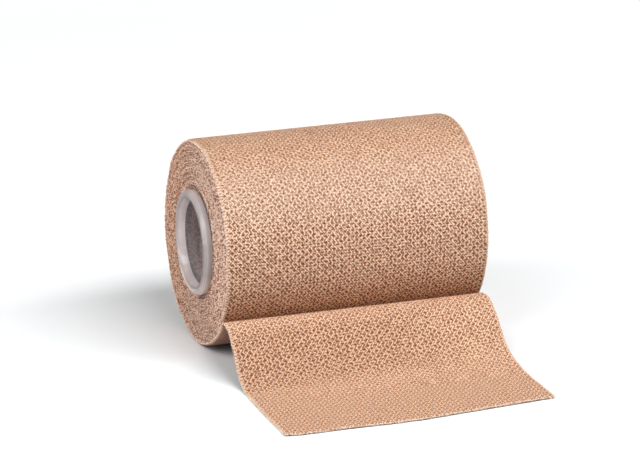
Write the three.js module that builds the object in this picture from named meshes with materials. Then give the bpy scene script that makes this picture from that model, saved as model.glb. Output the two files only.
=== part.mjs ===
// A wide elastic adhesive bandage wound on a plastic core, with its loose end lying in front of it.
// Millimetres, +Z up. X runs along the core, the loose end points towards -Y.
// The part is worked out around the core's axis and then set down with its origin
// at the middle of the bottom of its bounding box.

import * as THREE from "three";

// Cloth
const clothWidth = 100;
const clothThickness = 1;
const pieceGap = 0.3;

// Wound roll: the outer turn starts under the crease where the loose end leaves it
const firstTurnRadius = 37.4;
const creaseAngle = THREE.MathUtils.degToRad(34.5);
const flatSpotDepth = 0.5;
const rimRadius = 1.6;
const turnStepAngle = THREE.MathUtils.degToRad(0.25);
const columnsAround = 96;
const rowsAlong = 6;
const rowsPerRim = 3;
const endFaceSetBack = 0.3;

// The end faces: how far each band of turns stands proud of the mean face, from bore to rim
const turnBands = [
  { share: 0.0, proud: -0.5 },
  { share: 0.14, proud: 0.1 },
  { share: 0.28, proud: -0.35 },
  { share: 0.42, proud: 0.25 },
  { share: 0.56, proud: -0.2 },
  { share: 0.7, proud: 0.3 },
  { share: 0.84, proud: -0.15 },
];

// Core: a thin tube whose lips stand out of the cloth and are thicker inwards
const coreRadius = 20.2;
const coreWall = 2;
const lipRadius = 15.3;
const lipStandOut = 2.3;
const lipRound = 1.2;
const lipDepth = 5.2;
const lipTaper = 2.4;
const coreSides = 64;
const roundSteps = 3;

const lowestTurnAngle = Math.PI * 1.5 + creaseAngle;
const turnRadius = (winding) => firstTurnRadius + (clothThickness * winding) / (2 * Math.PI);
const axisHeight = turnRadius(lowestTurnAngle) - flatSpotDepth;

// Loose end: the middle of the cloth at its left and right edge, from the crease to the cut end.
// Y runs forwards from the core's axis, Z up from the floor.
const looseEndKnots = [
  { leftY: -31.3, leftZ: 16.2, rightY: -31.3, rightZ: 16.2 },
  { leftY: -32.0, leftZ: 17.0, rightY: -32.0, rightZ: 16.9 },
  { leftY: -34.4, leftZ: 17.4, rightY: -34.8, rightZ: 17.1 },
  { leftY: -37.8, leftZ: 16.7, rightY: -39.4, rightZ: 17.2 },
  { leftY: -41.2, leftZ: 15.0, rightY: -43.2, rightZ: 15.6 },
  { leftY: -44.6, leftZ: 11.9, rightY: -47.0, rightZ: 12.8 },
  { leftY: -48.0, leftZ: 7.8, rightY: -51.0, rightZ: 9.0 },
  { leftY: -51.2, leftZ: 3.9, rightY: -55.2, rightZ: 5.1 },
  { leftY: -54.6, leftZ: 1.6, rightY: -60.4, rightZ: 2.6 },
  { leftY: -59.5, leftZ: 0.5, rightY: -67.0, rightZ: 1.2 },
  { leftY: -67.0, leftZ: 0.5, rightY: -75.0, rightZ: 0.5 },
  { leftY: -84.0, leftZ: 0.5, rightY: -87.0, rightZ: 0.5 },
  { leftY: -101.6, leftZ: 0.5, rightY: -98.6, rightZ: 0.5 },
];
const looseEndSteps = 44;
const looseEndColumns = 16;
const rippleHeight = 0.35;
const rippleCount = 2.5;

// Joins rings of equally many points into a closed body. A ring is a closed line of points.
// The rings close on themselves, or the first and last are capped between their two halves.
function loft(rings, closesOnItself) {
  const count = rings[0].length;
  const positions = rings.flat().flatMap((point) => [point.x, point.y, point.z]);
  const index = [];
  const addQuad = (a, b, c, d) => index.push(a, b, c, a, c, d);
  const spans = closesOnItself ? rings.length : rings.length - 1;
  for (let ring = 0; ring < spans; ring += 1) {
    const here = ring * count;
    const next = ((ring + 1) % rings.length) * count;
    for (let k = 0; k < count; k += 1) {
      const along = (k + 1) % count;
      addQuad(here + k, next + k, next + along, here + along);
    }
  }
  if (!closesOnItself) {
    const last = (rings.length - 1) * count;
    for (let k = 0; k < count / 2 - 1; k += 1) {
      const across = count - 1 - k;
      addQuad(k, k + 1, across - 1, across);
      addQuad(last + k, last + across, last + across - 1, last + k + 1);
    }
  }
  const geometry = new THREE.BufferGeometry();
  geometry.setAttribute("position", new THREE.Float32BufferAttribute(positions, 3));
  geometry.setIndex(index);
  geometry.computeVertexNormals();
  return geometry;
}

// Points on a quarter circle between two directions, as [cosine, sine] pairs
function quarterTurn(steps) {
  const directions = [];
  for (let step = 0; step <= steps; step += 1) {
    const angle = (Math.PI / 2) * (step / steps);
    directions.push([Math.cos(angle), Math.sin(angle)]);
  }
  return directions;
}

// One half of the roll's section, from the bore out to the rounded rim: place along the core and radius
function endFaceProfile(outerRadius) {
  const edge = clothWidth / 2;
  const boreRadius = coreRadius + pieceGap;
  const rimStart = outerRadius - rimRadius;
  const profile = turnBands.map((band) => ({
    along: edge - endFaceSetBack + band.proud,
    radius: boreRadius + band.share * (rimStart - boreRadius),
  }));
  for (const [cosine, sine] of quarterTurn(rowsPerRim)) {
    profile.push({
      along: edge - rimRadius + rimRadius * cosine,
      radius: rimStart + rimRadius * sine,
    });
  }
  return profile;
}

// The wound cloth as one solid: a spiral outline around the bore, set flat where it rests
function woundRoll() {
  const rings = [];
  for (let column = 0; column <= columnsAround; column += 1) {
    const winding = (2 * Math.PI - turnStepAngle) * (column / columnsAround);
    const turned = winding - creaseAngle;
    const outerRadius = turnRadius(winding);
    const rightFace = endFaceProfile(outerRadius);
    const leftFace = rightFace.map(({ along, radius }) => ({ along: -along, radius })).reverse();
    const rim = clothWidth / 2 - rimRadius;
    const outside = [];
    for (let row = 1; row < rowsAlong; row += 1) {
      outside.push({ along: rim - (2 * rim * row) / rowsAlong, radius: outerRadius });
    }
    const section = [...rightFace, ...outside, ...leftFace];
    rings.push(section.map(({ along, radius }) => new THREE.Vector3(
      along,
      -radius * Math.cos(turned),
      Math.max(axisHeight + radius * Math.sin(turned), 0),
    )));
  }
  return loft(rings, true);
}

// The core: an inner and outer wall with rounded lips, turned around the X axis
function coreTube() {
  const end = clothWidth / 2 + lipStandOut;
  const lip = [];
  lip.push(new THREE.Vector2(coreRadius - coreWall, end - lipDepth - lipTaper));
  lip.push(new THREE.Vector2(lipRadius, end - lipDepth));
  for (const [cosine, sine] of quarterTurn(roundSteps)) {
    lip.push(new THREE.Vector2(lipRadius + lipRound - lipRound * cosine, end - lipRound + lipRound * sine));
  }
  for (const [cosine, sine] of quarterTurn(roundSteps)) {
    lip.push(new THREE.Vector2(coreRadius - lipRound + lipRound * sine, end - lipRound + lipRound * cosine));
  }
  const mirrored = lip.map((point) => new THREE.Vector2(point.x, -point.y)).reverse();
  const outline = [...lip, ...mirrored];
  outline.push(outline[0].clone());
  const geometry = new THREE.LatheGeometry(outline.reverse(), coreSides);
  geometry.rotateZ(-Math.PI / 2);
  geometry.translate(0, 0, axisHeight);
  return geometry;
}

// One edge of the loose end as a smooth curve through its knots
function edgeCurve(side) {
  const knots = looseEndKnots.map((knot) => new THREE.Vector3(0, knot[`${side}Y`], knot[`${side}Z`]));
  return new THREE.CatmullRomCurve3(knots, false, "centripetal");
}

// The loose end as a sheet between its two edge curves, with soft ripples where it is off the floor
function looseEnd() {
  const left = edgeCurve("left");
  const right = edgeCurve("right");
  const rings = [];
  for (let step = 0; step <= looseEndSteps; step += 1) {
    const place = step / looseEndSteps;
    const leftPoint = left.getPointAt(place);
    const rightPoint = right.getPointAt(place);
    const leftTangent = left.getTangentAt(place);
    const rightTangent = right.getTangentAt(place);
    const freedom = Math.sin(Math.PI * Math.min(place / 0.5, 1)) ** 2;
    const top = [];
    const bottom = [];
    for (let column = 0; column <= looseEndColumns; column += 1) {
      const across = column / looseEndColumns;
      const middle = leftPoint.clone().lerp(rightPoint, across);
      const tangent = leftTangent.clone().lerp(rightTangent, across).normalize();
      const normal = new THREE.Vector3(0, tangent.z, -tangent.y);
      const ripple = rippleHeight * freedom * Math.sin(2 * Math.PI * rippleCount * across);
      const x = clothWidth * (across - 0.5);
      const above = middle.clone().addScaledVector(normal, ripple + clothThickness / 2);
      const below = middle.clone().addScaledVector(normal, ripple - clothThickness / 2);
      top.push(new THREE.Vector3(x, above.y, above.z));
      bottom.push(new THREE.Vector3(x, below.y, Math.max(below.z, 0)));
    }
    rings.push([...top, ...bottom.reverse()]);
  }
  return loft(rings, false);
}

function addPiece(group, name, geometry, finish) {
  const mesh = new THREE.Mesh(geometry, new THREE.MeshStandardMaterial(finish));
  mesh.name = name;
  group.add(mesh);
}

const bandage = new THREE.Group();
const woundClothFinish = { color: 0xcda27c, roughness: 0.92, metalness: 0 };
const looseClothFinish = { color: 0xdfb48e, roughness: 0.9, metalness: 0 };
const coreFinish = { color: 0xc3b7b6, roughness: 0.35, metalness: 0 };
addPiece(bandage, "wound_roll", woundRoll(), woundClothFinish);
addPiece(bandage, "loose_end", looseEnd(), looseClothFinish);
addPiece(bandage, "core_tube", coreTube(), coreFinish);

const bounds = new THREE.Box3().setFromObject(bandage, true);
const middle = bounds.getCenter(new THREE.Vector3());
bandage.position.set(-middle.x, -middle.y, -bounds.min.z);
bandage.updateMatrixWorld(true);

export default bandage;
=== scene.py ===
"""An elastic adhesive bandage: crepe cloth wound on a pale plastic core, its loose end in front.

The frame is in metres, +Z up. X runs along the core and the loose end points towards -Y.
The pieces are worked out in millimetres, in names that end in _mm, and put into meshes in metres.
"""

import math

import bpy
import numpy as np
from mathutils import Matrix, Vector


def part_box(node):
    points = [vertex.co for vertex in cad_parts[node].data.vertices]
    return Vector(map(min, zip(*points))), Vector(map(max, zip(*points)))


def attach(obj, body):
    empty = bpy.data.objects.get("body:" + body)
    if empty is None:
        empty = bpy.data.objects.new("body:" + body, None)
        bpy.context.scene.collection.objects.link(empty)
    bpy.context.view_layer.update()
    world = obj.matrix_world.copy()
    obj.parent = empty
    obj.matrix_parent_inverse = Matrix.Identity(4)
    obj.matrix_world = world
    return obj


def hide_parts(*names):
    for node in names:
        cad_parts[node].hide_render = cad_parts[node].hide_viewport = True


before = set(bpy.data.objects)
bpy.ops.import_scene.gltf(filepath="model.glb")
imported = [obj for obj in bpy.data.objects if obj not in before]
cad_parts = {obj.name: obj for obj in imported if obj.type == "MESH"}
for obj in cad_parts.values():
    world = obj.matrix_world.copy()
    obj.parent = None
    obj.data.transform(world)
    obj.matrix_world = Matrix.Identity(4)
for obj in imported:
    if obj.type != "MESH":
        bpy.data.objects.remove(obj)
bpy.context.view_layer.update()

MM = 0.001
TURN = 2 * math.pi

# The core's axis and the cloth's half width, read from the frame
core_low, core_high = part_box("core_tube")
roll_low, roll_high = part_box("wound_roll")
AXIS_Y_MM = (core_low.y + core_high.y) / 2 / MM
AXIS_Z_MM = (core_low.z + core_high.z) / 2 / MM
EDGE_MM = roll_high.x / MM
CORE_END_MM = core_high.x / MM
CORE_RADIUS_MM = (core_high.y - core_low.y) / 2 / MM

# Cloth as it is wound: a spiral that grows by one thickness a turn and starts under the crease
THICKNESS_MM = 1.0
FIRST_TURN_MM = 37.4
CREASE_ANGLE = math.radians(34.5)
SEAM_ANGLE = 0.002
RIM_DROP_MM = 0.35
RIM_WIDTH_MM = 2.2
SPIRAL_STEP_MM = 0.5
CORE_CLEARANCE_MM = 0.1
CLIMB_SHARE = 0.14
CLIMB_TURNS = 2.5
END_TILT_MM = 1.3
END_TILT_ANGLE = math.radians(45)
END_TILT_LOST = 0.7
SWELL_MM = 0.9

# Soft unevenness of the winding: how far, over what distance, and its seeds
OUTER_SLIDE_MM = 0.14
OUTER_SLIDE_SPACING = 9 / 38
OUTER_SLIDE_SEED = 21
TURN_BAND_MM = 0.3
TURN_BAND_SPACING = 1.7
TURN_BAND_START = 7
TURN_BAND_SEEDS = (31, 32)
TURN_YARN_MM = 0.26
TURN_YARN_SPACING_MM = 0.75
TURN_YARN_SEEDS = (33, 34)
LINE_KNOTS = 4096
FIELD_KNOTS = 512

# Weave: a repeat holds two ribs that run zigzag along the cloth, and two staggered gaps.
# Sway and width of a rib's line are in half repeats across, a gap's reach in whole repeats.
REPEATS_ACROSS = 34
REPEAT_ACROSS_MM = 2 * EDGE_MM / REPEATS_ACROSS
REPEAT_ALONG_MM = 2.3
RIB_SWAY = 0.28
RIB_PHASES = (0.79, 0.64)
LINE_WIDTH = 0.13
GAP_ACROSS = 0.40
GAP_ALONG = 0.155
RELIEF_MM = 0.2

# Ply of the yarn: crossing waves, with the way each slants, its share and its start
PLIES_ACROSS = 3
PLIES_ALONG = 2
PLY_WAVES = ((-1, 0.7, math.radians(-167)), (1, 0.3, math.radians(45)))

# Noise drawn out along the lines: how much of it per half repeat across, per repeat along and per rib
STRAND_STRETCH = (4.5, 3.0, 5.7)
STRAND_RANGE = (0.40, 0.60)
SPECKLE_RANGE = (0.37, 0.63)
COARSE_GRAIN = 0.16

# Threads wander from their even places, in repeats
WANDER_ACROSS = {"share": 0.01, "spacing_mm": 5.5, "seed": 11}
WANDER_ALONG = {"share": 0.018, "spacing_mm": 7.0, "seed": 12}
WANDER_START_MM = (60, 400)

# Mesh of the cloth: points for each repeat on its upper side, and few below
COLUMNS_ABOVE = 6 * REPEATS_ACROSS - 1
COLUMNS_BELOW = 9
ROWS_PER_REPEAT = 4
EDGE_COLUMNS_MM = (0.0, 0.04, 0.15, 0.31, 0.5)
TURN_COLUMNS_MM = (0.0, 0.16, 0.5)
ROUNDED_SHARE = 0.96

# How much each part of the pattern adds to the cloth's brightness, and how dark its gaps are
LINE_WEIGHT = 0.74
SPECKLE_WEIGHT = 0.76
PLY_WEIGHT = 0.32
STRAND_WEIGHT = 0.1
GAP_WEIGHT = 0.25
SPECKLE_MEAN = 0.48
BRIGHTNESS = 0.865
HOLE_RANGE = (0.55, 0.9)
HOLE_SHARE = 0.88
HOLE_CHANCE = 0.12
BLOTCH_SHARE = 0.12
BLOTCH_TINT = (1.0, 0.96, 0.88)
CLOTH_GRAIN = 1750.0
CLOTH_BUMP_MM = 0.3

# Woven edges: pale beads of yarn with dark pinholes, over this reach in repeats
BEAD_REACH = (0.26, 0.12)
BEAD_RANGE = (-0.8, 0.4)
BEAD_SHARE = 0.6
BEAD_TONES = ((0.45, 0.20, 0.11), (1.0, 0.76, 0.57))

# Cloth on the roll and on the loose end: colours, and how strongly lines, holes and unevenness show
ROLL_CLOTH = {
    "yarn": (1.0, 0.70, 0.505), "ground": (0.28, 0.112, 0.050), "hole": (0.09, 0.020, 0.005),
    "lines": 1.0, "holes": 1.05, "uneven": 1.0,
}
END_CLOTH = {
    "yarn": (1.0, 0.68, 0.48), "ground": (0.34, 0.145, 0.072), "hole": (0.11, 0.026, 0.006),
    "lines": 0.9, "holes": 0.75, "uneven": 0.8,
}

# Zones of the cloth, between rows of the weave: its smooth underside, painted lighter and pinker as
# painted light; its taut top, a little darker as painted shade; the part that faces the light, paler as a
# painted highlight; the part pulled down into the crease, darker and redder as painted shade; and the
# slope of the loose end, pulled open, darker as painted shade, and weaker from one repeat across until
# another
ROLL_ZONES = [
    {"rows": (-1.0, 1.0, 15.0, 19.0), "gaps": -0.8, "tint": (1.32, 1.14, 1.3)},
    {"rows": (50.0, 62.0, 74.0, 82.0), "gaps": -0.3, "tint": (0.94, 0.91, 0.88)},
    {"rows": (74.0, 80.0, 84.0, 89.0), "gaps": -0.35, "tint": (0.98, 1.02, 1.07)},
    {"rows": (95.0, 103.0, 110.0, 120.0), "gaps": 0.3, "tint": (0.76, 0.63, 0.53)},
]
END_ZONES = [
    {"rows": (-17.0, -12.5, -6.0, -2.0), "gaps": 0.5, "tint": (0.84, 0.80, 0.77), "until": (14.0, 2.0)},
]
UNTIL_SHARE = 0.35

# Loose end: the middle of the cloth at its left and right edge, from the crease to the cut, each as
# the place forwards from the core's axis and up from the floor, in millimetres
LOOSE_END_KNOTS = [
    ((-31.3, 16.2), (-31.3, 16.2)),
    ((-32.0, 16.7), (-32.0, 16.7)),
    ((-33.2, 17.5), (-33.4, 17.4)),
    ((-34.8, 17.9), (-35.2, 17.8)),
    ((-37.8, 17.1), (-39.4, 17.6)),
    ((-41.2, 15.0), (-43.2, 15.6)),
    ((-44.6, 11.9), (-47.0, 12.8)),
    ((-48.0, 7.8), (-51.0, 9.0)),
    ((-51.2, 3.9), (-55.2, 5.1)),
    ((-54.6, 1.6), (-60.4, 2.6)),
    ((-59.5, 0.36), (-67.0, 1.2)),
    ((-67.0, 0.36), (-75.0, 0.36)),
    ((-84.0, 0.36), (-87.0, 0.36)),
    ((-101.6, 0.36), (-98.6, 0.36)),
]
LOOSE_THICKNESS_MM = 0.7
LOOSE_END_ROWS = 165
CURVE_STEPS = 2001
LIFTED_SHARE = 0.5
RIPPLE_MM = 0.35
RIPPLES = 2.5
WIDENING_MM = 1.0
DRAWN_IN_MM = 1.15
LAID_BELOW_MM = 1.2
LAID_EASE_MM = 0.6

# How far the cut lies back from the last knots, at places across the cloth, and how it thins and frays
CUT_LINE_X_MM = (-50, -42, -28, -12, 0, 14, 30, 50)
CUT_LINE_BACK_MM = (2.6, 1.4, 1.4, -0.4, -0.8, 0.0, 1.0, 1.3)
CUT_BACK_FROM = 0.67
CUT_THIN_FROM = 0.985
CUT_TAPER = 0.3
CUT_WAVE_MM = 0.25
CUT_WAVE_SPACING_MM = 0.8
CUT_WAVE_START_MM = 70
CUT_WAVE_SEED = 41

# Yarn loops along both woven edges; ranges are shares of the step or reach
LOOP_STEP_MM = 1.15
LOOP_REACH_MM = 0.5
LOOP_RADIUS_MM = 0.17
LOOP_SINK_MM = 0.25
LOOP_DROP_MM = 0.2
LOOP_SHIFT = 0.2
LOOP_REACHES = (0.5, 1.2)
LOOP_WIDTHS = (0.55, 0.95)
LOOP_LIFTS_MM = (-0.2, 0.25)
LOOP_POINTS = 7
LOOP_ARC = (0.03, TURN - 0.01)
LOOP_ARC_STEPS = 400
LOOP_ROWS = slice(4, -1)
ROLL_LOOP_SEEDS = (51, 52)
END_LOOP_SEEDS = (61, 62)
LOOP_TONE_SEED = 71

# Yarn ends at the cut
STUB_STEP_MM = 0.62
STUB_REACH_MM = 0.9
STUB_RADIUS_MM = 0.19
STUB_INSET_MM = 0.3
STUB_ROOT_MM = 0.4
STUB_SHIFT_MM = 0.12
STUB_LEAN_MM = 0.25
STUB_REACHES = (0.3, 1.0)
STUB_SHORTNESS = 1.5
STUB_HEIGHTS_MM = (0.2, 0.6)
STUB_TIP_MM = 0.25
STUB_DROOP = 0.6
STUB_POINTS = 4
STUB_SEED = 81
YARN_END_TONES = ((0.80, 0.56, 0.42), (1.0, 0.88, 0.78))
TUBE_SIDES = 4

# Edges of the wound turns: tones of the yarn ends, and how speckles, clumps and rings add up in them
TURN_EDGE_TONES = ((0.36, 0.152, 0.088), (1.0, 0.73, 0.59))
TURN_GRAIN = 1700.0
CLUMP_GRAIN = 650.0
TURN_SPECKLE_WEIGHT = 1.35
CLUMP_WEIGHT = 0.24
TURN_DARKNESS = 0.17
TURN_BUMP_MM = 0.3
RING_NOISE_SCALE = 700.0
RING_NOISE_RANGE = (0.36, 0.64)
RING_WEIGHTS = (0.25, 0.8)
# Painted shade on the turn edges: beside the core, away from the upper front and across the way the light
# comes from; and an orange tint on the far half
CORE_SHADOW_MM = 1.3
CORE_SHADOW = 0.6
AWAY_SHADE_TINT = (0.85, 0.83, 0.82)
UNLIT_TINT = (0.84, 0.84, 0.84)
FAR_HALF_TINT = (1.0, 0.84, 0.70)
RINGS_ABOVE_MM = (0.0, 22.0)
AWAY_MM = (30.0, -35.0)
FAR_HALF_MM = (-4.0, 30.0)
UPPER_FRONT = (-0.82, 0.57)
LIT_WAY = (0.906, 0.423)

# Core lips: a wide bevel leads into the bore, and fine rings run around it
LIP_RADIUS_MM = 15.5
LIP_ROUND_MM = 2.0
BEVEL_DEPTH_MM = 2.8
BEVEL_CURVE = 0.8
BEVEL_STEPS = 33
LIP_ROUND_STEPS = 61
LIP_DEPTH_MM = 5.2
LIP_TAPER_MM = 2.4
LIP_FLARES_MM = (0.2, 0.15)
MOUTH_STEP_MM = 0.25
CORE_WALL_MM = 2.0
LIP_STAND_OUT_MM = 0.3
LIP_SHRINK_MM = 0.6
RING_RADII_MM = (17.95, 18.66, 19.2)
RING_WIDTH_MM = 0.13
RING_DEPTH_MM = 0.12
CORE_SIDES = 160

# Core's colours, from its darker to its paler spots, and where they change: along the bore, from its
# end, and on the lip, from the axis. The mouth's tint is painted shade; bevel, crown and rim are painted
# light and shade on one plastic, and the ring lines are painted shade in the lip's grooves
BORE_TONES = ((0.74, 0.62, 0.615), (1.0, 0.90, 0.89))
MOUTH_SHADE_TINT = (0.24, 0.235, 0.24)
MOUTH_MM = (-3.4, -0.2)
BORE_END_MM = (-0.1, 0.02)
BEVEL_TONES = ((0.76, 0.65, 0.64), (0.84, 0.73, 0.72))
CROWN_TONES = ((0.44, 0.37, 0.36), (0.50, 0.43, 0.42))
RIM_TONES = ((0.62, 0.53, 0.52), (0.68, 0.585, 0.575))
BEVEL_TO_CROWN_MM = (16.2, 16.9)
CROWN_TO_RIM_MM = (17.8, 19.2)
RING_LINE_MM = 0.15
GROOVE_SHADE_SHARE = 0.45
GROOVE_SHADE_COLOUR = (0.30, 0.25, 0.24)
CORE_GRAIN = 1100.0

# Painted light and shade of the lip on its front and lower side: the way in which each grows from none to
# full, over what distance along it and from the axis in millimetres, and the tint. The front is darker as
# painted shade, most inwards; the lower side is paler outwards as painted light and darker inwards as
# painted shade
LIP_LIGHT_AND_SHADE = [
    ("behind", (-4.0, -13.0), (19.6, 16.8), (0.32, 0.31, 0.31)),
    ("behind", (-4.0, -13.0), (18.0, 19.2), (0.84, 0.89, 0.91)),
    ("above", (-6.0, -15.0), (16.4, 17.8), (1.95, 1.92, 1.88)),
    ("above", (-4.0, -10.0), (17.6, 16.2), (0.80, 0.80, 0.80)),
]

# Camera, as the photograph was taken
CAMERA_PLACE = Vector((-0.2942, -0.8022, 0.3237))
CAMERA_YAW = math.radians(19.32)
CAMERA_PITCH = math.radians(-18.02)
CAMERA_LENS = 140.6
SENSOR_WIDTH = 36.0

# Light: the name of each, its direction from the object, size, power in watts and whether it leaves
# highlights, and the surround's level at the horizon and overhead
LIGHT_DISTANCE = 2.7
LIGHT_CENTRE = Vector((0.0, 0.0, 0.035))
LIGHTS = [
    ("key", (0.85, -0.95, 1.5), (3.0, 1.1), 70.0, True),
    ("front", (0.8, -0.95, 1.1), (3.0, 1.2), 26.0, True),
    ("side", (-1.0, -0.3, 0.75), (3.0, 1.2), 44.0, True),
    ("low side", (-1.0, -0.35, 0.2), (2.0, 0.8), 20.0, False),
    ("glint", (-1.0, -0.29, 0.1), (0.12, 0.45), 8.0, True),
    ("back", (0.3, 1.0, 0.2), (3.0, 0.8), 20.0, False),
]
SKY_LOW = 0.03
SKY_HIGH = 0.09

# Floor: what it throws back, how the camera sees it, its shade beside the object, and its white distance
FLOOR_HALF = 4.0
FLOOR_BELOW = 0.0002
FLOOR_BOUNCE = (0.30, 0.30, 0.30)
FLOOR_SEEN = (0.945, 0.965, 0.975)
CONTACT_REACH = 0.02
CONTACT_RANGE = (0.0, 0.38)
CONTACT_SHADE = 0.15
FAR_FLOOR = (0.5, 1.3)
BLACK = (0.0, 0.0, 0.0)
WHITE = (1.0, 1.0, 1.0)


def grid_quads(rows, columns, rows_close, columns_close):
    """Corners of the quads between neighbouring points of a grid, and the numbers of their places.

    A closed direction ends where it starts; its places go on to one more than its points.
    """
    row = np.arange(rows if rows_close else rows - 1)
    column = np.arange(columns if columns_close else columns - 1)
    r, c = np.meshgrid(row, column, indexing="ij")
    steps = ((0, 0), (0, 1), (1, 1), (1, 0))
    points = [((r + dr) % rows) * columns + (c + dc) % columns for dr, dc in steps]
    places = [(r + dr) * (columns + columns_close) + (c + dc) for dr, dc in steps]
    return np.stack(points, -1).reshape(-1, 4), np.stack(places, -1).reshape(-1, 4)


def signed_volume(points, quads):
    """Sum over the faces of the volume between face and origin: positive if they point outwards."""
    a, b, c, d = (points[quads[:, k]] for k in range(4))
    return sum(np.einsum("ij,ij->i", a, np.cross(p, q)).sum() for p, q in ((b, c), (c, d)))


def add_mesh(name, points_mm, quads, corner_places, material, caps=(), cap_places=()):
    """A smooth piece of points, quads and the pattern place of every face corner.

    caps holds faces of any number of corners, which close a strip at its ends.
    """
    points = points_mm.reshape(-1, 3)
    faces = quads.tolist() + [cap.tolist() for cap in caps]
    if signed_volume(points, quads) < 0:
        faces = [face[::-1] for face in faces]
        corner_places = corner_places[:, ::-1]
        cap_places = [place[::-1] for place in cap_places]
    places = np.concatenate([corner_places.reshape(-1, 2), *cap_places])
    mesh = bpy.data.meshes.new(name)
    mesh.from_pydata(points * MM, [], faces)
    layer = mesh.uv_layers.new(name="place")
    layer.data.foreach_set("uv", places.astype(np.float32).ravel())
    mesh.polygons.foreach_set("use_smooth", np.ones(len(faces), dtype=bool))
    mesh.materials.append(material)
    mesh.update()
    mesh.validate()
    piece = bpy.data.objects.new(name, mesh)
    bpy.context.scene.collection.objects.link(piece)
    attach(piece, "root")
    return piece


def ribbon_piece(name, upper, lower, upper_places, lower_places, material):
    """A closed strip of cloth between an upper and a lower grid of points with equally many rows.

    Each ring runs forwards along the upper line and backwards along the lower one. Places are
    the pattern coordinates of each grid point. One face closes the first ring and one the last.
    """
    rings = np.concatenate([upper, lower[:, ::-1]], axis=1)
    rows, around = rings.shape[:2]
    quads, corners = grid_quads(rows, around, False, True)
    ring_places = np.concatenate([upper_places, lower_places[:, ::-1], upper_places[:, :1]], axis=1)
    ends = [np.arange(around)[::-1], (rows - 1) * around + np.arange(around)]
    end_places = [ring_places[0, :around][::-1], ring_places[-1, :around]]
    corner_places = ring_places.reshape(-1, 2)[corners]
    return add_mesh(name, rings, quads, corner_places, material, ends, end_places)


def soft_step(share):
    """A step from 0 to 1 with the shape of half a cosine wave."""
    return (1 - np.cos(math.pi * share)) / 2


def smooth_noise(places, spacing, seed):
    """Soft random line: seeded random knots a spacing apart, joined by soft steps, from -1 to 1."""
    knots = np.random.default_rng(seed).uniform(-1, 1, LINE_KNOTS)
    scaled = np.asarray(places) / spacing
    base = np.floor(scaled).astype(int)
    share = soft_step(scaled - base)
    return knots[base % LINE_KNOTS] * (1 - share) + knots[(base + 1) % LINE_KNOTS] * share


def smooth_noise_2d(u, v, spacing, seed):
    """Soft random field: seeded random knots on a square grid, joined by soft steps, from -1 to 1."""
    knots = np.random.default_rng(seed).uniform(-1, 1, (FIELD_KNOTS, FIELD_KNOTS))
    base_u = np.floor(u / spacing).astype(int)
    base_v = np.floor(v / spacing).astype(int)
    share_u = soft_step(u / spacing - base_u)
    share_v = soft_step(v / spacing - base_v)

    def line(k):
        row = (base_v + k) % FIELD_KNOTS
        first = knots[base_u % FIELD_KNOTS, row]
        second = knots[(base_u + 1) % FIELD_KNOTS, row]
        return first * (1 - share_u) + second * share_u

    return line(0) * (1 - share_v) + line(1) * share_v


def wander(x_mm, along_mm, share, spacing_mm, seed):
    """How far threads lie from their even places: a soft random field."""
    start_x, start_along = WANDER_START_MM
    return share * smooth_noise_2d(x_mm + start_x, along_mm + start_along, spacing_mm, seed)


def drawn_thread_places(x_mm, along_mm):
    """Cloth coordinates in repeats, each moved a little to and fro, as threads lie in soft cloth."""
    u = x_mm / REPEAT_ACROSS_MM + wander(x_mm, along_mm, **WANDER_ACROSS)
    v = along_mm / REPEAT_ALONG_MM + wander(x_mm, along_mm, **WANDER_ALONG)
    return np.stack([u, v], -1)


def weave_height(places):
    """Height of the weave from about 0, at the middle of a gap, to 1, on a rib's bright line.

    Its lines and gaps are those of the cloth's colours, which crepe_weave_group puts in words.
    """
    half, along = places[..., 0] * 2, places[..., 1]
    column = np.floor(half)
    phase = np.where(column % 2 == 0, *RIB_PHASES)
    wave = 1 - 4 * np.abs(along - phase - np.round(along - phase))
    line = np.exp(-((half - column - 0.5 - RIB_SWAY * wave) / LINE_WIDTH) ** 2)
    row = np.round(along * 2)
    shifted = places[..., 0] - (row % 2) / 2
    reach_across = (shifted - np.round(shifted)) / GAP_ACROSS
    reach_along = (along - row / 2) / GAP_ALONG
    gap = np.exp(-(reach_across ** 2 + reach_along ** 2))
    return 0.5 + 0.5 * line - 0.5 * gap


def rounded_edge(x_mm, thickness_mm):
    """Half the cloth's thickness at x: it falls off as a half circle at both edges."""
    radius = thickness_mm / 2
    past = np.clip((np.abs(x_mm) - (EDGE_MM - radius)) / radius, 0, ROUNDED_SHARE)
    return radius * np.sqrt(1 - past * past)


def weave_relief(place, half, thickness_mm, direction):
    """The weave's relief: how far the upper side lies below its ribs, fading out on the round edges."""
    return RELIEF_MM * (weave_height(place) - 1) * (half / (thickness_mm / 2)) ** 2 * (direction > 0)


def cloth_columns(steps):
    """Places across the cloth: even steps, with closer ones on the two rounded edges."""
    edge = np.array(EDGE_COLUMNS_MM[:-1])
    flat = np.linspace(-EDGE_MM + EDGE_COLUMNS_MM[-1], EDGE_MM - EDGE_COLUMNS_MM[-1], steps)
    return np.concatenate([-EDGE_MM + edge, flat, EDGE_MM - edge[::-1]])


def spiral_point(x_mm, radius_mm, turned):
    """A point at a radius from the core's axis, turned from the front over the top, not below the floor.

    The cloth is wound a little askew: it shifts along the core by up to END_TILT_MM at the left
    end and a third of that at the right, as the square of the radius. Its upper side swells by
    up to SWELL_MM towards the right end.
    """
    right = (1 + x_mm / EDGE_MM) / 2
    outward = radius_mm / FIRST_TURN_MM
    tilt = END_TILT_MM * (1 - END_TILT_LOST * right) * outward ** 2
    askew = x_mm + tilt * np.cos(turned - END_TILT_ANGLE)
    swollen = radius_mm + SWELL_MM * right * outward * np.maximum(np.sin(turned), 0)
    y = AXIS_Y_MM - swollen * np.cos(turned)
    z = np.maximum(AXIS_Z_MM + swollen * np.sin(turned), 0.0)
    return np.stack(np.broadcast_arrays(askew, y, z), -1)


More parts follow.
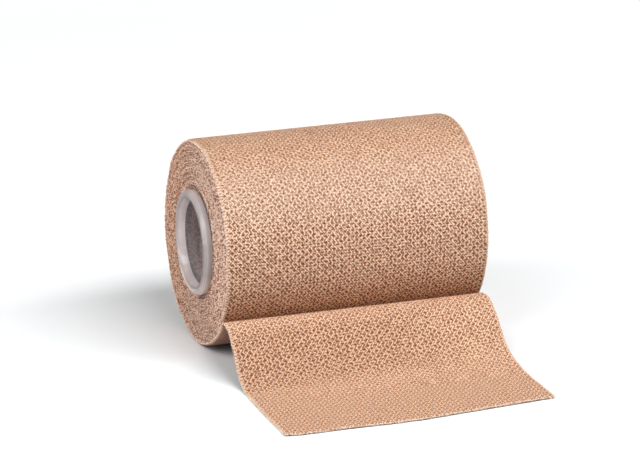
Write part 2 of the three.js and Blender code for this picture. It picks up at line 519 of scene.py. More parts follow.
def outer_radius(winding, x_mm):
    """Radius of the outer turn's middle: it grows by one thickness, and falls as a square at the rims."""
    into_rim = np.clip((np.abs(x_mm) - (EDGE_MM - RIM_WIDTH_MM)) / RIM_WIDTH_MM, 0, 1)
    return FIRST_TURN_MM + THICKNESS_MM * (winding / TURN - 0.5) - RIM_DROP_MM * into_rim ** 2


def outer_shift(winding):
    """How far the outer turn has slid along the core, as a soft random line around it."""
    return OUTER_SLIDE_MM * smooth_noise(winding, OUTER_SLIDE_SPACING, OUTER_SLIDE_SEED)


def outer_turn(material):
    """The turn of cloth that shows: round edges, and the weave's relief on its outer side."""
    length_mm = TURN * (FIRST_TURN_MM + THICKNESS_MM / 2)
    rows = ROWS_PER_REPEAT * round(length_mm / REPEAT_ALONG_MM) + 1
    winding = np.linspace(SEAM_ANGLE, TURN - SEAM_ANGLE, rows)[:, None]
    along = length_mm - winding * length_mm / TURN

    def side(steps, direction):
        x = cloth_columns(steps)[None]
        place = drawn_thread_places(x, along)
        half = rounded_edge(x, THICKNESS_MM)
        relief = weave_relief(place, half, THICKNESS_MM, direction)
        radius = outer_radius(winding, x) + direction * half + relief
        return spiral_point(x + outer_shift(winding), radius, winding - CREASE_ANGLE), place

    upper, upper_places = side(COLUMNS_ABOVE, 1)
    lower, lower_places = side(COLUMNS_BELOW, -1)
    ribbon_piece("outer_turn", upper, lower, upper_places, lower_places, material)


def inner_turns(material):
    """The turns below the outer one, a single strip with round edges wound in a spiral down to the core.

    The radius grows by one thickness a turn. Near the core it stays level for most of a turn and
    climbs over the strip's start in the last CLIMB_SHARE of it, which dies away over CLIMB_TURNS.
    Each edge stands in or out by soft bands from turn to turn and by the unevenness of its yarns.
    """
    inside = CORE_RADIUS_MM - LIP_SHRINK_MM + CORE_CLEARANCE_MM + THICKNESS_MM / 2
    outside = FIRST_TURN_MM - THICKNESS_MM / 2
    turns = (outside - inside) / THICKNESS_MM
    length_mm = TURN * turns * (inside + outside) / 2
    along = np.linspace(0, length_mm, int(length_mm / SPIRAL_STEP_MM))[:, None]
    wound = np.sqrt(inside ** 2 + (outside ** 2 - inside ** 2) * along / length_mm)
    turn = (wound - inside) / THICKNESS_MM
    part = turn % 1
    climb = np.clip((part - 1 + CLIMB_SHARE) / CLIMB_SHARE, 0, 1)
    level = np.exp(-turn / CLIMB_TURNS) * (part - climb * climb * (3 - 2 * climb))
    radius = inside + THICKNESS_MM * (turn - level)
    turned = TURN * (turn - turns) - CREASE_ANGLE
    edge = np.array(TURN_COLUMNS_MM)
    offset = np.concatenate([edge - EDGE_MM, EDGE_MM - edge[::-1]])[None]
    half = rounded_edge(offset, THICKNESS_MM)

    def proud(end):
        place = turn + TURN_BAND_START
        band = TURN_BAND_MM * smooth_noise(place, TURN_BAND_SPACING, TURN_BAND_SEEDS[end])
        yarn = TURN_YARN_MM * smooth_noise(along, TURN_YARN_SPACING_MM, TURN_YARN_SEEDS[end])
        return band + yarn

    x = offset + np.where(offset < 0, -proud(0), proud(1))
    upper = spiral_point(x, radius + half, turned)
    lower = spiral_point(x, radius - half, turned)
    place = np.stack(np.broadcast_arrays(x, along), -1)
    piece = ribbon_piece("inner_turns", upper, lower, place, place, material)
    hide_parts("wound_roll")


def way_along(points):
    """Length of a line of points up to each of them."""
    steps = np.linalg.norm(np.diff(points, axis=0), axis=1)
    return np.concatenate([[0], np.cumsum(steps)])


def curve_through(knots, places):
    """A smooth curve through knots, at places from 0 at its start to 1 at its end.

    Its spans are cubic, and the slope at a knot is that of the chord between its neighbours.
    """
    at = way_along(knots)
    before, after = (np.clip(np.arange(len(at)) + step, 0, len(at) - 1) for step in (-1, 1))
    slope = (knots[after] - knots[before]) / (at[after] - at[before])[:, None]
    s = places * at[-1]
    k = np.clip(np.searchsorted(at, s, side="right") - 1, 0, len(at) - 2)
    span = np.diff(at)[k][:, None]
    t = (s - at[k])[:, None] / span
    a = (1 + 2 * t) * (1 - t) ** 2 * knots[k] + t ** 2 * (3 - 2 * t) * knots[k + 1]
    b = t * (1 - t) ** 2 * span * slope[k] - t ** 2 * (1 - t) * span * slope[k + 1]
    return a + b


def even_curve(knots):
    """LOOSE_END_ROWS points at even distances along the smooth curve through knots, and its length."""
    fine = curve_through(knots, np.linspace(0, 1, CURVE_STEPS))
    run = way_along(fine)
    wanted = np.linspace(0, run[-1], LOOSE_END_ROWS)
    return np.stack([np.interp(wanted, run, fine[:, k]) for k in range(2)], -1), run[-1]


def rising_share(place, start):
    """0 up to a start, then rising evenly to 1 at place 1."""
    return np.clip((place - start) / (1 - start), 0, 1)


def loose_end_middle(x):
    """Middle surface, upward normal, way along the loose end and widening, at places across it.

    Straight lines between its two edge curves carry soft ripples where it is off the floor.
    The last third is drawn back to the cut line. It widens evenly to the right of its middle,
    and is drawn in at its left edge as the cube of the way along.
    """
    knots = np.array(LOOSE_END_KNOTS)
    left, left_length = even_curve(knots[:, 0])
    right, right_length = even_curve(knots[:, 1])
    share = (x[None] / EDGE_MM + 1) / 2
    middle = left[:, None] * (1 - share)[..., None] + right[:, None] * share[..., None]
    place = np.linspace(0, 1, LOOSE_END_ROWS)[:, None]
    back = rising_share(place, CUT_BACK_FROM) * np.interp(x, CUT_LINE_X_MM, CUT_LINE_BACK_MM)
    middle[..., 0] += back
    slope = np.gradient(middle, axis=0)
    slope /= np.linalg.norm(slope, axis=2, keepdims=True)
    normal = np.stack([slope[..., 1], -slope[..., 0]], -1)
    freedom = np.sin(math.pi * np.minimum(place / LIFTED_SHARE, 1)) ** 2
    ripple = RIPPLE_MM * freedom * np.sin(TURN * RIPPLES * share)
    along = place * (left_length * (1 - share) + right_length * share) - back
    wider = WIDENING_MM * place * share + DRAWN_IN_MM * place ** 3 * (1 - share)
    return middle + normal * ripple[..., None], normal, along, wider


def loose_end(material):
    """The cloth that leaves the roll at the crease, humps forward and lies flat, with relief on top.

    It thins towards the cut, and where it lies on the floor its thin edges lie on it too.
    """
    near_cut = rising_share(np.linspace(0, 1, LOOSE_END_ROWS), CUT_THIN_FROM)[:, None]

    def side(steps, direction):
        x = cloth_columns(steps)
        middle, normal, along, wider = loose_end_middle(x)
        place = drawn_thread_places(x[None], -along)
        half = rounded_edge(x, LOOSE_THICKNESS_MM)[None] * (1 - (1 - CUT_TAPER) * near_cut)
        laid = np.clip((LAID_BELOW_MM - middle[..., 1]) / LAID_EASE_MM, 0, 1)
        relief = weave_relief(place, half, LOOSE_THICKNESS_MM, direction)
        flat = middle + normal * (direction * half + relief)[..., None]
        wave = CUT_WAVE_MM * smooth_noise(x + CUT_WAVE_START_MM, CUT_WAVE_SPACING_MM, CUT_WAVE_SEED)[None]
        y = flat[..., 0] + AXIS_Y_MM - near_cut * wave
        z = np.maximum(flat[..., 1] - laid * (LOOSE_THICKNESS_MM / 2 - half), 0.0)
        return np.stack([x + wider, y, z], -1), place

    upper, upper_places = side(COLUMNS_ABOVE, 1)
    lower, lower_places = side(4 * COLUMNS_BELOW, -1)
    piece = ribbon_piece("loose_end_cloth", upper, lower, upper_places, lower_places, material)
    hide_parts("loose_end")


def lip_profile():
    """Places along the core and radii of one lip, from the bore over bevel and crown to the outer wall.

    The bevel rises as a power of a quarter sine wave, and the crown is a quarter circle. Its rings
    are bell-shaped grooves.
    """
    end = CORE_END_MM + LIP_STAND_OUT_MM
    outside = CORE_RADIUS_MM - LIP_SHRINK_MM
    corner = np.linspace(0, math.pi / 2, LIP_ROUND_STEPS)
    crown_x = end - LIP_ROUND_MM + LIP_ROUND_MM * np.cos(corner)
    crown_r = outside - LIP_ROUND_MM + LIP_ROUND_MM * np.sin(corner)
    share = np.linspace(0, 1, BEVEL_STEPS, endpoint=False)
    bevel_start = CORE_END_MM - BEVEL_DEPTH_MM
    bevel_x = bevel_start + (end - bevel_start) * np.sin(share * math.pi / 2) ** BEVEL_CURVE
    bevel_r = LIP_RADIUS_MM + (crown_r[0] - LIP_RADIUS_MM) * share
    bore_depths = np.array([LIP_DEPTH_MM + LIP_TAPER_MM, LIP_DEPTH_MM, BEVEL_DEPTH_MM + MOUTH_STEP_MM])
    flares = [LIP_RADIUS_MM - flare for flare in LIP_FLARES_MM]
    bore_r = np.array([CORE_RADIUS_MM - CORE_WALL_MM, *flares])
    x = np.concatenate([CORE_END_MM - bore_depths, bevel_x, crown_x])
    radius = np.concatenate([bore_r, bevel_r, crown_r])
    rings = sum(np.exp(-((radius - ring) / RING_WIDTH_MM) ** 2) for ring in RING_RADII_MM)
    return x - RING_DEPTH_MM * rings * (radius > crown_r[0]), radius


def core(material):
    """The core: the profile of both lips and the walls between them, turned around the core's axis."""
    x, radius = lip_profile()
    profile_x = np.concatenate([x, -x[::-1]])
    profile_r = np.concatenate([radius, radius[::-1]])
    count = len(profile_x)
    angle = np.linspace(0, TURN, CORE_SIDES, endpoint=False)[:, None]
    y = AXIS_Y_MM + profile_r * np.cos(angle)
    z = AXIS_Z_MM + profile_r * np.sin(angle)
    points = np.stack([np.broadcast_to(profile_x, y.shape), y, z], -1)
    quads, corners = grid_quads(CORE_SIDES, count, True, True)
    around, along = np.meshgrid(np.arange(CORE_SIDES + 1), np.arange(count + 1), indexing="ij")
    places = np.stack([around / CORE_SIDES, along / count], -1).reshape(-1, 2)
    piece = add_mesh("core", points, quads, places[corners], material)
    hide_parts("core_tube")


def thread_tubes(centres, radius_mm):
    """Thin tubes around many short paths, given as (thread, point, xyz)."""
    forward = np.gradient(centres, axis=1)
    forward /= np.linalg.norm(forward, axis=2, keepdims=True)
    steep = 0.8
    helper = np.where(np.abs(forward[..., 2:]) < steep, [0.0, 0.0, 1.0], [1.0, 0.0, 0.0])
    first = np.cross(forward, helper)
    first /= np.linalg.norm(first, axis=2, keepdims=True)
    second = np.cross(forward, first)
    angle = (np.linspace(0, TURN, TUBE_SIDES, endpoint=False) + TURN / TUBE_SIDES / 2)[:, None]
    ring = first[:, :, None] * np.cos(angle) + second[:, :, None] * np.sin(angle)
    return centres[:, :, None] + ring * radius_mm


def threads_piece(name, centres, radius_mm, tones, material):
    """One piece of many short capped threads; the pattern place of each holds its own tone."""
    points = thread_tubes(centres, radius_mm)
    count, rings = points.shape[:2]
    one, _ = grid_quads(rings, TUBE_SIDES, False, True)
    ring = np.arange(TUBE_SIDES)
    one = np.concatenate([one, [ring[::-1], (rings - 1) * TUBE_SIDES + ring]])
    starts = np.arange(count) * rings * TUBE_SIDES
    quads = (one[None] + starts[:, None, None]).reshape(-1, 4)
    tone = np.repeat(np.stack([tones, tones], -1), len(one), axis=0)
    add_mesh(name, points, quads, np.repeat(tone[:, None], 4, axis=1), material)


def loop_paths(edge_points, side, upward, seed):
    """Small yarn loops along an edge: each rises out of it as half a sine wave, one every LOOP_STEP_MM.

    They rise along X to the side of this sign. upward holds a unit direction for each edge point.
    Every loop has its own reach, length and lift, drawn from a seeded generator.
    """
    run = way_along(edge_points)
    count = int(run[-1] / LOOP_STEP_MM)
    chance = np.random.default_rng(seed)
    centre = (np.arange(count) + 0.5 + chance.uniform(-LOOP_SHIFT, LOOP_SHIFT, count)) * run[-1] / count
    reach = LOOP_REACH_MM * chance.uniform(*LOOP_REACHES, count)
    width = LOOP_STEP_MM * chance.uniform(*LOOP_WIDTHS, count)
    lift = chance.uniform(*LOOP_LIFTS_MM, count)
    s = np.linspace(0, 1, LOOP_POINTS)[None]
    at = np.clip(centre[:, None] + width[:, None] * (s - 0.5), 0, run[-1])

    def along_edge(rows):
        return np.stack([np.interp(at, run, rows[:, k]) for k in range(3)], -1)

    up = (lift[:, None] * np.cos(TURN * s / 2))[..., None]
    paths = along_edge(edge_points) + along_edge(upward) * up
    paths[..., 0] += side * (reach[:, None] * np.sin(math.pi * s) - LOOP_SINK_MM)
    return paths


def edge_loops(material):
    """Yarn loops along both edges of the outer turn and of the loose end."""
    winding = np.linspace(*LOOP_ARC, LOOP_ARC_STEPS)
    turned = winding - CREASE_ANGLE
    middle, normal, _, wider = loose_end_middle(np.array([-EDGE_MM, EDGE_MM]))
    paths = []
    for k, side in enumerate((-1.0, 1.0)):
        x = side * EDGE_MM + outer_shift(winding)
        points = spiral_point(x, outer_radius(winding, x), turned)
        up = np.stack([0 * turned, -np.cos(turned), np.sin(turned)], -1)
        paths.append(loop_paths(points, side, up, ROLL_LOOP_SEEDS[k]))
        y, z = (middle[LOOP_ROWS, k] + [AXIS_Y_MM, -LOOP_DROP_MM]).T
        points = np.stack([side * EDGE_MM + wider[LOOP_ROWS, k], y, np.maximum(z, LOOP_RADIUS_MM)], -1)
        up = np.pad(normal[LOOP_ROWS, k], ((0, 0), (1, 0)))
        paths.append(loop_paths(points, side, up, END_LOOP_SEEDS[k]))
    centres = np.concatenate(paths)
    centres[..., 2] = np.maximum(centres[..., 2], LOOP_RADIUS_MM)
    tones = np.random.default_rng(LOOP_TONE_SEED).uniform(0, 1, len(centres))
    threads_piece("edge_loops", centres, LOOP_RADIUS_MM, tones, material)


def cut_stubs(material):
    """Short yarn ends along the cut, leaning a little, some frayed further out than others."""
    x = np.arange(-EDGE_MM + STUB_INSET_MM, EDGE_MM - STUB_INSET_MM, STUB_STEP_MM)
    chance = np.random.default_rng(STUB_SEED)
    x = x + chance.uniform(-STUB_SHIFT_MM, STUB_SHIFT_MM, len(x))
    middle, _, _, wider = loose_end_middle(x)
    reach = STUB_REACH_MM * chance.uniform(*STUB_REACHES, len(x)) ** STUB_SHORTNESS
    lean = chance.uniform(-STUB_LEAN_MM, STUB_LEAN_MM, len(x))
    height = chance.uniform(*STUB_HEIGHTS_MM, len(x))
    s = np.linspace(0, 1, STUB_POINTS)[None]
    root = middle[-1, :, 0] + AXIS_Y_MM + STUB_ROOT_MM
    y = root[:, None] - (reach[:, None] + STUB_ROOT_MM) * s
    z = height[:, None] + (STUB_TIP_MM - height[:, None]) * s ** 2 * STUB_DROOP
    centres = np.stack([(x + wider[-1])[:, None] + lean[:, None] * s, y, z], -1)
    threads_piece("cut_stubs", centres, STUB_RADIUS_MM, chance.uniform(0, 1, len(x)), material)


def new_material(name):
    """An empty node material, its tree and the inputs of its Principled shader."""
    material = bpy.data.materials.new(name)
    material.use_nodes = True
    return material, material.node_tree, material.node_tree.nodes["Principled BSDF"].inputs


class Value:
    """A node's output. Each sum, difference, product and quotient with it becomes a math node."""

    def __init__(self, socket):
        self.socket = socket

    def __add__(self, other):
        return calc("ADD", self, other)

    def __sub__(self, other):
        return calc("SUBTRACT", self, other)

    def __rsub__(self, other):
        return calc("SUBTRACT", other, self)

    def __mul__(self, other):
        return calc("MULTIPLY", self, other)

    def __truediv__(self, other):
        return calc("DIVIDE", self, other)


def tree_of(*values):
    """The node tree that the first Value is in; plain numbers and colours are in none."""
    return next(value.socket.id_data for value in values if isinstance(value, Value))


def wire(socket, value):
    """Links a socket to a Value, or sets it to a plain number or to a colour of three shares."""
    if isinstance(value, Value):
        socket.id_data.links.new(value.socket, socket)
    elif isinstance(value, tuple):
        socket.default_value = (*value, 1.0)
    else:
        socket.default_value = value


def set_inputs(inputs, **values):
    """Wires inputs by their names, with underscores for spaces."""
    for label, value in values.items():
        wire(inputs[label.replace("_", " ")], value)


def new_node(tree, kind, inputs, output=0, **settings):
    """One output of a new node; its inputs and the output are given by name or number."""
    node = tree.nodes.new(kind)
    for setting, choice in settings.items():
        setattr(node, setting, choice)
    for label, value in inputs.items():
        wire(node.inputs[label], value)
    return Value(node.outputs[output])


def calc(operation, *values):
    """A math node over Values or plain numbers."""
    return new_node(tree_of(*values), "ShaderNodeMath", dict(enumerate(values)), operation=operation)


def bell(value):
    """The bell curve of a value: e to the minus its square."""
    return calc("EXPONENT", value * value * -1.0)


def remap(value, low, high, to_low=0.0, to_high=1.0):
    """A value carried from one range to another along a soft step."""
    inputs = dict(enumerate((value, low, high, to_low, to_high)))
    return new_node(tree_of(value), "ShaderNodeMapRange", inputs, interpolation_type="SMOOTHSTEP")


def over_mm(value, low_mm, high_mm, to_low=0.0, to_high=1.0):
    """The same for a distance in metres and a range in millimetres."""
    return remap(value, low_mm * MM, high_mm * MM, to_low, to_high)


def blend(share, first, second, mode="MIX"):
    """Two colours mixed by a share."""
    tree = tree_of(share, first, second)
    inputs = {0: share, 6: first, 7: second}
    return new_node(tree, "ShaderNodeMix", inputs, 2, data_type="RGBA", blend_type=mode)


def tinted(share, colour, tint):
    """A colour multiplied by a tint, by a share."""
    return blend(share, colour, tint, "MULTIPLY")


def vector_of(*parts):
    """Up to three Values as a vector."""
    return new_node(tree_of(*parts), "ShaderNodeCombineXYZ", dict(enumerate(parts)))


def parts_of(vector):
    """The three parts of a vector."""
    node = tree_of(vector).nodes.new("ShaderNodeSeparateXYZ")
    wire(node.inputs[0], vector)
    return [Value(socket) for socket in node.outputs]


def cloud(place, scale, detail):
    """Soft noise from 0 to 1 over places."""
    inputs = {"Vector": place, "Scale": scale, "Detail": detail}
    return new_node(tree_of(place), "ShaderNodeTexNoise", inputs)


def bump(height, depth_mm, strength):
    """The normal of a surface raised by a height from 0 to 1 over a depth."""
    inputs = {"Strength": strength, "Distance": depth_mm * MM, "Height": height}
    return new_node(tree_of(height), "ShaderNodeBump", inputs)


def pattern_place(tree):
    """The two pattern coordinates of the piece's own map."""
    return parts_of(new_node(tree, "ShaderNodeUVMap", {}, uv_map="place"))[:2]


def object_place(tree):
    """The point's place on the piece."""
    return new_node(tree, "ShaderNodeTexCoord", {}, "Object")


def around_axis(place):
    """How far a point lies behind the core's axis, above it, and from it."""
    _, y, z = parts_of(place)
    behind = y - AXIS_Y_MM * MM
    above = z - AXIS_Z_MM * MM
    return behind, above, calc("SQRT", behind * behind + above * above)


def new_group(name, inputs, outputs):
    """An empty node group, its input Values and its output sockets; all outputs are numbers."""
    tree = bpy.data.node_groups.new(name, "ShaderNodeTree")
    for label, kind in inputs.items():
        tree.interface.new_socket(name=label, in_out="INPUT", socket_type=kind)
    for label in outputs:
        tree.interface.new_socket(name=label, in_out="OUTPUT", socket_type="NodeSocketFloat")
    given = tree.nodes.new("NodeGroupInput").outputs[:len(inputs)]
    return tree, [Value(socket) for socket in given], tree.nodes.new("NodeGroupOutput").inputs


def use_group(tree, group, **values):
    """The outputs of a node group that is placed in a tree with these inputs."""
    node = tree.nodes.new("ShaderNodeGroup")
    node.node_tree = group
    set_inputs(node.inputs, **values)
    return [Value(socket) for socket in node.outputs]


def crepe_weave_group():
    """The crepe weave: two ribs a repeat that sway along the cloth, and the gaps between them.

    In half repeats across, a line's middle is 0.5 plus Sway times a triangle wave along the
    cloth, which is furthest right at Phase Even or Phase Odd. Line falls off as a bell curve
    from it. Gap is a soft ellipse around whole repeats and, half a repeat further along,
    around the half repeats between them. Strand is noise drawn out along the lines, as single
    yarns are. Ply is two crossing waves, PLIES_ACROSS to a repeat across and PLIES_ALONG
    along, as the plies of the yarn catch the light. Chance is a random number for each gap.
    """
    labels = "Across, Along, Sway, Phase Even, Phase Odd, Line Width, Gap Across, Gap Along".split(", ")
    inputs = dict.fromkeys(labels, "NodeSocketFloat")
    tree, given, result = new_group("crepe weave", inputs, ("Line", "Gap", "Strand", "Ply", "Chance"))
    across, along, sway, phase_even, phase_odd, width, gap_across, gap_along = given

    half = across * 2.0
    column = calc("FLOOR", half)
    odd_column = calc("FLOORED_MODULO", column, 2.0)
    phased = along - phase_even - odd_column * (phase_odd - phase_even)
    wave = 1.0 - calc("ABSOLUTE", phased - calc("ROUND", phased)) * 4.0
    off_line = half - column - 0.5 - sway * wave
    line = bell(off_line / width)

    ways = zip((off_line, along, column), STRAND_STRETCH)
    drawn_out = vector_of(*(way * stretch for way, stretch in ways))
    strand = remap(cloud(drawn_out, 1.0, 0.0), *STRAND_RANGE)

    plies = []
    for slant, share, start in PLY_WAVES:
        turned = across * (PLIES_ACROSS * TURN) + along * (PLIES_ALONG * TURN * slant)
        plies.append(calc("COSINE", turned + start) * share)

    row = calc("ROUND", along * 2.0)
    shifted = across - calc("FLOORED_MODULO", row, 2.0) * 0.5
    gap_column = calc("ROUND", shifted)
    gap = bell((shifted - gap_column) / gap_across) * bell((along - row * 0.5) / gap_along)
    chance = new_node(tree, "ShaderNodeTexWhiteNoise", {"Vector": vector_of(gap_column, row)}, "Value")
    set_inputs(result, Line=line, Gap=gap, Strand=strand, Ply=plies[0] + plies[1], Chance=chance)
    return tree


def yarn_speckle_group():
    """Fine and coarse unevenness of yarn: two soft noises over the piece, sharpened to light and dark."""
    inputs = {"Place": "NodeSocketVector", "Grain": "NodeSocketFloat"}
    tree, (place, grain), result = new_group("yarn speckle", inputs, ("Fine", "Coarse"))
    for socket, factor, detail in zip(result, (1.0, COARSE_GRAIN), (0.0, 2.0)):
        wire(socket, remap(cloud(place, grain * factor, detail), *SPECKLE_RANGE))
    return tree


def cloth_material(name, weave, speckle, yarn, ground, hole, lines, holes, uneven, zones):
    """Crepe cloth: bright yarn lines on a duller ground with dark gaps, each a little different.

    lines, holes and uneven say how strongly the lines, the gaps and the unevenness of the yarns
    show. A zone lies between four rows of the weave, over which it comes and goes. In it the
    lines and gaps are stronger or weaker by a factor, and the cloth is tinted with that zone's
    painted light, shade or highlight. Along both woven edges pale yarn turns back with dark pinholes
    between.
    """
    material, tree, shader = new_material(name)
    across, along = pattern_place(tree)
    line, gap, strand, ply, chance = use_group(
        tree, weave, Across=across, Along=along, Sway=RIB_SWAY,
        Phase_Even=RIB_PHASES[0], Phase_Odd=RIB_PHASES[1],
        Line_Width=LINE_WIDTH, Gap_Across=GAP_ACROSS, Gap_Along=GAP_ALONG)
    fine, coarse = use_group(tree, speckle, Place=object_place(tree), Grain=CLOTH_GRAIN)

    masks = []
    strength = 1.0
    for zone in zones:
        start, full, ease, end = zone["rows"]
        mask = remap(along, start, full) * remap(along, end, ease)
        if "until" in zone:
            mask = mask * remap(across, *zone["until"], UNTIL_SHARE, 1.0)
        strength = mask * zone["gaps"] + strength
        masks.append(mask)

    yarns = line * (LINE_WEIGHT * lines) + fine * (SPECKLE_WEIGHT * uneven) + ply * (PLY_WEIGHT * lines)
    yarns = (yarns - 0.5) * strength + strand * (STRAND_WEIGHT * uneven)
    deep = gap * strength * holes
    bright = yarns - deep * GAP_WEIGHT - (SPECKLE_MEAN * uneven - BRIGHTNESS)
    spread = HOLE_CHANCE * uneven
    darkness = remap(chance, 0.0, 1.0, HOLE_SHARE - spread, HOLE_SHARE + spread)
    dark = remap(gap, *HOLE_RANGE) * (strength * holes) * darkness

    colour = blend(dark, blend(bright, ground, yarn), hole)
    # Each zone's tint is painted light, shade or highlight
    for zone, mask in zip(zones, masks):
        colour = tinted(mask, colour, zone["tint"])
    colour = tinted(coarse * BLOTCH_SHARE, colour, BLOTCH_TINT)
    to_edge = REPEATS_ACROSS / 2 - calc("ABSOLUTE", across)
    beads = remap(calc("SINE", along * (2 * TURN)), *BEAD_RANGE)
    colour = blend(remap(to_edge, *BEAD_REACH, 0.0, BEAD_SHARE), colour, blend(beads, *BEAD_TONES))
    set_inputs(
        shader, Base_Color=colour, Normal=bump(yarns - deep, CLOTH_BUMP_MM, 0.6),
        Roughness=remap(bright, 0.2, 0.8, 0.8, 0.36), Specular_IOR_Level=0.45)
    return material


def thread_material():
    """Single yarns at the cloth's edges, each in its own tone between tan and pale peach."""
    material, tree, shader = new_material("yarn ends")
    tone, _ = pattern_place(tree)
    set_inputs(shader, Base_Color=blend(tone, *YARN_END_TONES), Roughness=0.7)
    return material


def turn_edge_material(speckle):
    """The edges of the wound turns: pinkish yarn ends with dark specks, in rings that vary by turn.

    The rings are noise over the distance from the core's axis, and show most above it. The cloth
    is in painted shadow right beside the core. It is a little darker, as painted shade, away from its
    upper front and across the line to the lower front, and its far half is tinted orange by a soft noise.
    """
    material, tree, shader = new_material("turn edges")
    place = object_place(tree)
    behind, above, radius = around_axis(place)
    ring_inputs = {"W": radius, "Scale": RING_NOISE_SCALE}
    rings = new_node(tree, "ShaderNodeTexNoise", ring_inputs, noise_dimensions="1D")
    fine, coarse = use_group(tree, speckle, Place=place, Grain=TURN_GRAIN)
    clumps, _ = use_group(tree, speckle, Place=place, Grain=CLUMP_GRAIN)

    shown = over_mm(above, *RINGS_ABOVE_MM, *RING_WEIGHTS)
    tone = fine * TURN_SPECKLE_WEIGHT + clumps * CLUMP_WEIGHT
    tone = tone + (remap(rings, *RING_NOISE_RANGE) - 0.5) * shown
    colour = blend(tone - TURN_DARKNESS, *TURN_EDGE_TONES)
    # Painted shadow beside the core
    beside_core = over_mm(radius, CORE_RADIUS_MM, CORE_RADIUS_MM + CORE_SHADOW_MM, CORE_SHADOW, 1.0)
    colour = tinted(1.0, colour, beside_core)
    # Painted shade away from the upper front
    upper_front = behind * UPPER_FRONT[0] + above * UPPER_FRONT[1]
    colour = tinted(over_mm(upper_front, *AWAY_MM), colour, AWAY_SHADE_TINT)
    # Painted shade across the line to the lower front
    lit = (behind * LIT_WAY[0] + above * LIT_WAY[1]) / radius
    colour = blend(lit * lit, tinted(1.0, colour, UNLIT_TINT), colour)
    colour = tinted(over_mm(behind, *FAR_HALF_MM) * (coarse * 0.5 + 0.2), colour, FAR_HALF_TINT)
    relief = bump(fine, TURN_BUMP_MM, 0.8)
    set_inputs(shader, Base_Color=colour, Normal=relief, Roughness=0.9, Specular_IOR_Level=0.2)
    return material


def core_material(speckle):
    """Pale satin plastic, plain on its lips and mottled in the bore, where cloth lies behind its wall.

    The bore has painted shade near its mouth, where more light falls into it. The bevel is paler than
    the crown around it, as painted light and shade on one plastic, and the crown carries fine darker
    rings of painted shade in its grooves. The lip's painted light and shade are listed in a table above.
    """
    material, tree, shader = new_material("core plastic")
    place = object_place(tree)
    behind, above, radius = around_axis(place)
    out = calc("ABSOLUTE", parts_of(place)[0])
    bore_edge = CORE_END_MM - BEVEL_DEPTH_MM
    free, mouth = (over_mm(out, *(bore_edge + way for way in reach)) for reach in (BORE_END_MM, MOUTH_MM))
    fine, coarse = use_group(tree, speckle, Place=place, Grain=CORE_GRAIN)

    # Painted shade near the bore's mouth
    inside = tinted(mouth, blend(fine, *BORE_TONES), MOUTH_SHADE_TINT)
    # Paler bevel, darker crown and rim between: painted light and shade on one plastic
    bevel, crown, rim = (blend(coarse, *tones) for tones in (BEVEL_TONES, CROWN_TONES, RIM_TONES))
    outside = blend(over_mm(radius, *BEVEL_TO_CROWN_MM), bevel, crown)
    outside = blend(over_mm(radius, *CROWN_TO_RIM_MM), outside, rim)
    # Painted light and shade on the lip's front and lower side
    ways = {"behind": behind, "above": above}
    for way, reach_mm, radii_mm, tint in LIP_LIGHT_AND_SHADE:
        outside = tinted(over_mm(ways[way], *reach_mm) * over_mm(radius, *radii_mm), outside, tint)
    # Painted shade in the lip's grooves
    for ring in RING_RADII_MM:
        line = bell((radius - ring * MM) / (RING_LINE_MM * MM))
        outside = blend(line * GROOVE_SHADE_SHARE, outside, GROOVE_SHADE_COLOUR)
    set_inputs(
        shader, Base_Color=blend(free, inside, outside), Roughness=remap(free, 0.0, 1.0, 0.8, 0.17),
        Normal=bump(coarse, 0.1, 0.15), Coat_Weight=0.6, Coat_Roughness=0.12, Specular_IOR_Level=0.5)
    return material


def floor_material():
    """A plain white, matt surface, which throws less light back on the object than the camera sees.

    It darkens softly right beside whatever rests on it. Far away it turns plain white for the
    camera, so that no grey horizon shows.
    """
    material, tree, shader = new_material("white surface")
    seen = new_node(tree, "ShaderNodeLightPath", {}, "Is Camera Ray")
    place = {0: object_place(tree)}
    distance = new_node(tree, "ShaderNodeVectorMath", place, "Value", operation="LENGTH")
    glow = blend(remap(distance, *FAR_FLOOR) * seen, BLACK, WHITE)
    nearby = new_node(tree, "ShaderNodeAmbientOcclusion", {"Distance": CONTACT_REACH}, "AO", samples=16)
    level = remap(nearby, *CONTACT_RANGE, CONTACT_SHADE, 1.0)
    colour = blend(seen, FLOOR_BOUNCE, tinted(1.0, FLOOR_SEEN, level))
    set_inputs(
        shader, Base_Color=colour, Roughness=1.0, Specular_IOR_Level=0.0,
        Emission_Color=glow, Emission_Strength=1.0)
    return material


def add_floor(material):
    """A wide square just under the object, which is not part of it."""
    signs = ((-1, -1), (1, -1), (1, 1), (-1, 1))
    corners = [(x * FLOOR_HALF, y * FLOOR_HALF, -FLOOR_BELOW) for x, y in signs]
    mesh = bpy.data.meshes.new("floor")
    mesh.from_pydata(corners, [], [(0, 1, 2, 3)])
    mesh.materials.append(material)
    floor = bpy.data.objects.new("floor", mesh)
    bpy.context.scene.collection.objects.link(floor)


def facing(direction, along):
    """A turn whose local -Z points along direction and whose local X lies as near as it can to along."""
    back = -direction.normalized()
    side = (along - back * along.dot(back)).normalized()
    return Matrix((side, back.cross(side), back)).transposed()


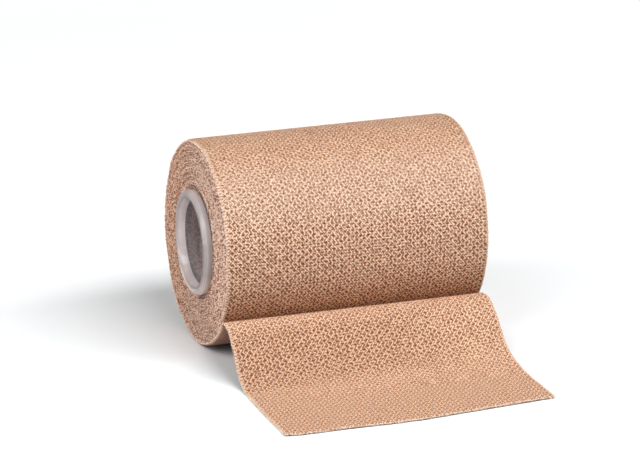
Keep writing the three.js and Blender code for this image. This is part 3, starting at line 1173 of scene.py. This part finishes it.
def add_soft_light(name, direction, size, power, shines):
    """A rectangular light LIGHT_DISTANCE away in a direction, its long side near X, facing the object."""
    light = bpy.data.lights.new(name, "AREA")
    light.shape = "RECTANGLE"
    light.size, light.size_y = size
    light.energy = power
    lamp = bpy.data.objects.new(name, light)
    lamp.visible_glossy = shines
    place = LIGHT_CENTRE + Vector(direction).normalized() * LIGHT_DISTANCE
    turn = facing(LIGHT_CENTRE - place, Vector((1, 0, 0)))
    lamp.matrix_world = Matrix.Translation(place) @ turn.to_4x4()
    bpy.context.scene.collection.objects.link(lamp)


def set_sky():
    """A white surround: even for the camera, and brighter overhead where it lights the object."""
    world = bpy.data.worlds.new("white surround")
    world.use_nodes = True
    tree = world.node_tree
    _, _, up = parts_of(new_node(tree, "ShaderNodeTexCoord", {}, "Generated"))
    seen = new_node(tree, "ShaderNodeLightPath", {}, "Is Camera Ray")
    strength = remap(up, 0.0, 1.0, SKY_LOW, SKY_HIGH) * (1.0 - seen) + seen
    set_inputs(tree.nodes["Background"].inputs, Color=WHITE, Strength=strength)
    bpy.context.scene.world = world


def add_camera():
    """The photograph's view: a long lens from the front left, looking down onto the roll."""
    camera = bpy.data.cameras.new("camera")
    camera.lens = CAMERA_LENS
    camera.sensor_width = SENSOR_WIDTH
    camera.clip_start = 0.01
    camera.clip_end = 50
    east, north, level = math.sin(CAMERA_YAW), math.cos(CAMERA_YAW), math.cos(CAMERA_PITCH)
    forward = Vector((east * level, north * level, math.sin(CAMERA_PITCH)))
    right = Vector((north, -east, 0.0))
    viewer = bpy.data.objects.new("camera", camera)
    viewer.matrix_world = Matrix.Translation(CAMERA_PLACE) @ facing(forward, right).to_4x4()
    bpy.context.scene.collection.objects.link(viewer)
    bpy.context.scene.camera = viewer


weave = crepe_weave_group()
speckle = yarn_speckle_group()
yarn_ends = thread_material()

outer_turn(cloth_material("roll cloth", weave, speckle, **ROLL_CLOTH, zones=ROLL_ZONES))
inner_turns(turn_edge_material(speckle))
loose_end(cloth_material("loose end cloth", weave, speckle, **END_CLOTH, zones=END_ZONES))
edge_loops(yarn_ends)
cut_stubs(yarn_ends)
core(core_material(speckle))

add_floor(floor_material())
set_sky()
for light in LIGHTS:
    add_soft_light(*light)
add_camera()
bpy.context.scene.view_settings.view_transform = "Standard"
